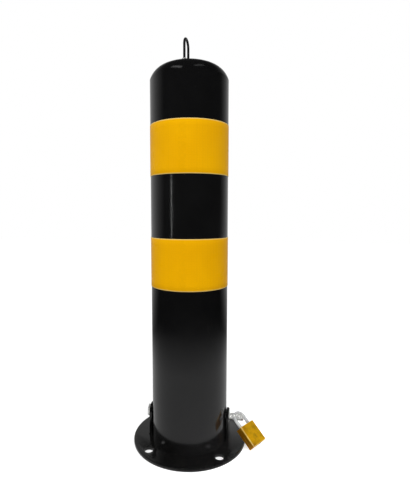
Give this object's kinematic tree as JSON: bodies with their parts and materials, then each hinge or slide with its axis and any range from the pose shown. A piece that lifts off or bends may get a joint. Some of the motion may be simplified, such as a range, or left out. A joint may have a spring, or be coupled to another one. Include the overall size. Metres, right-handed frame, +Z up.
{
  "type": "removable bollard",
  "caption": "Removable round bollard with a domed cap, reflective bands, a lifting loop and a bolted base plate, held down by a cross pin and a padlock.",
  "frame": {"origin": "centre of the base plate's underside, on the column's axis", "axes": "+Z up along the column; +X along the cross pin, from its head towards its padlock end"},
  "size_m": [0.2025, 0.172, 0.5988],
  "materials": {
    "black_paint": "gloss",
    "yellow_film": "satin",
    "zinc_plate": "satin",
    "dark_steel": "satin",
    "lock_brass": "satin",
    "shackle_chrome": "polished",
    "lock_steel": "satin"
  },
  "bodies": {
    "base": {"base_plate": "black_paint", "locating_ring": "black_paint", "ear_left": "black_paint", "ear_right": "black_paint"},
    "column": {"column_tube": "black_paint", "dome_cap": "black_paint", "band_lower": "yellow_film", "band_upper": "yellow_film", "lifting_loop": "dark_steel", "loop_washers_outer": "zinc_plate", "loop_nuts_outer": "zinc_plate", "loop_washers_inner": "zinc_plate", "loop_nuts_inner": "zinc_plate"},
    "pin": {"locking_pin": "zinc_plate"},
    "shackle": {"padlock_shackle": "shackle_chrome"},
    "case": {"padlock_case": "lock_brass", "shackle_stop_pin": "lock_steel", "plug_retaining_pin": "lock_steel", "driver_pins": "lock_brass", "chamber_plugs": "lock_brass", "tumbler_springs": "lock_steel", "heel_spring": "lock_steel", "latch_spring": "lock_steel"},
    "plug": {"padlock_plug": "lock_brass", "key_pins": "lock_brass"},
    "latch": {"padlock_latch": "lock_steel"}
  },
  "joints": [
    {"name": "column_lift", "type": "slide", "parent": "base", "child": "column", "axis": [0, 0, 1], "range_m": [0, 0.0014]},
    {"name": "pin_slide", "type": "slide", "parent": "base", "child": "pin", "axis": [-1, 0, 0], "range_m": [0, 0.006]},
    {"name": "padlock_swing", "type": "hinge", "parent": "pin", "child": "shackle", "pos_m": [0.078, 0.00182, 0.03352], "axis": [-0.5093, 0.3579, -0.7826], "range_deg": [-100, 15]},
    {"name": "shackle_open", "type": "slide", "parent": "shackle", "child": "case", "axis": [0.6403, -0.45, -0.6225], "range_m": [0, 0.0095]},
    {"name": "plug_turn", "type": "hinge", "parent": "case", "child": "plug", "pos_m": [0.09804, -0.01226, 0.01403], "axis": [-0.6403, 0.45, 0.6225], "range_deg": [-90, 0]},
    {"name": "latch_slide", "type": "slide", "parent": "case", "child": "latch", "axis": [-0.575, -0.8181, 0], "range_m": [0, 0.00201]}
  ],
  "couplings": [
    {"joint": "latch_slide", "follows": "plug_turn", "m_per_rad": -0.0012732}
  ]
}
